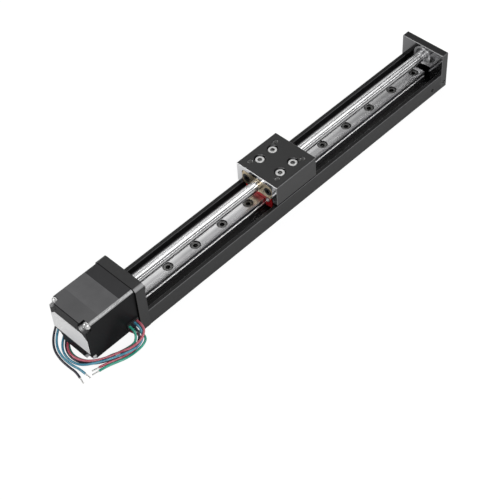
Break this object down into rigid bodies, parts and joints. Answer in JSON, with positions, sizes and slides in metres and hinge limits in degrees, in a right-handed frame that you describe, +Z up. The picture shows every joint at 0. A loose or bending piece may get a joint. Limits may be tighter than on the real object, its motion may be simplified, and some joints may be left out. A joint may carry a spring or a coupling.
{
  "type": "lead_screw_linear_slide",
  "caption": "Motor driven lead screw slide: a stepper motor turns a fine screw that moves a table block along a miniature guide rail in a black anodised channel.",
  "frame": {"origin": "centre of the base channel's underside", "axes": "+X along the screw from the motor to the far end, +Y to the left, +Z up out of the mounting surface"},
  "size_m": [0.2883, 0.0582, 0.032],
  "materials": {
    "black_anodised": "satin",
    "ground_steel": "ground",
    "bright_fastener": "plated",
    "dark_fastener": "black oxide",
    "cap_plastic": "moulded",
    "red_seal": "smooth",
    "bearing_steel": "polished",
    "nut_brass": "turned",
    "motor_casting": "painted black",
    "motor_stack": "painted black",
    "coil_copper": "enamelled copper wire",
    "rotor_iron": "ground",
    "magnet": "sintered",
    "label_foil": "satin foil",
    "outlet_plastic": "moulded",
    "blue_insulation": "smooth",
    "black_insulation": "smooth",
    "red_insulation": "smooth",
    "green_insulation": "smooth",
    "tinned_copper": "tinned",
    "spring_steel": "rolled",
    "screw_steel": "rolled thread"
  },
  "bodies": {
    "frame": {"base_channel": "black_anodised", "guide_rail": "ground_steel", "rail_screws": "bright_fastener", "motor_plate": "black_anodised", "motor_plate_screws": "dark_fastener", "end_plate": "black_anodised", "end_plate_screws": "dark_fastener", "motor_front_bell": "motor_casting", "stator_core": "motor_stack", "stator_coils": "coil_copper", "motor_rear_bell": "motor_casting", "motor_short_bolts": "bright_fastener", "motor_long_bolts": "bright_fastener", "motor_mount_screws": "dark_fastener", "rear_label": "label_foil", "lead_outlet": "outlet_plastic", "wave_washer": "spring_steel", "lead_blue": "blue_insulation", "lead_black": "black_insulation", "lead_red": "red_insulation", "lead_green": "green_insulation", "tip_blue": "tinned_copper", "tip_black": "tinned_copper", "tip_red": "tinned_copper", "tip_green": "tinned_copper", "end_bearing_outer_ring": "bearing_steel", "end_bearing_shields": "spring_steel", "front_bearing_outer_ring": "bearing_steel", "front_bearing_shields": "spring_steel", "rear_bearing_outer_ring": "bearing_steel", "rear_bearing_shields": "spring_steel"},
    "carriage": {"carriage_body": "ground_steel", "end_cap_motor_side": "cap_plastic", "end_cap_far_side": "cap_plastic", "end_seal_motor_side": "red_seal", "end_seal_far_side": "red_seal", "carriage_balls": "bearing_steel", "end_cap_screws": "bright_fastener", "table_block": "black_anodised", "table_screws": "bright_fastener", "lead_nut": "nut_brass", "nut_screws": "dark_fastener"},
    "screw": {"lead_screw": "screw_steel", "rotor_rear_cup": "rotor_iron", "rotor_magnet": "magnet", "rotor_front_cup": "rotor_iron", "end_bearing_inner_ring": "bearing_steel", "end_bearing_balls": "bearing_steel", "front_bearing_inner_ring": "bearing_steel", "front_bearing_balls": "bearing_steel", "rear_bearing_inner_ring": "bearing_steel", "rear_bearing_balls": "bearing_steel"}
  },
  "joints": [
    {"name": "carriage_slide", "type": "slide", "parent": "frame", "child": "carriage", "axis": [1, 0, 0], "range_m": [-0.093, 0.107]},
    {"name": "screw_spin", "type": "hinge", "parent": "frame", "child": "screw", "pos_m": [0, 0, 0.018], "axis": [1, 0, 0], "range_deg": [-38520, 33480]}
  ],
  "couplings": [
    {"joint": "screw_spin", "follows": "carriage_slide", "rad_per_m": -6283.2}
  ]
}
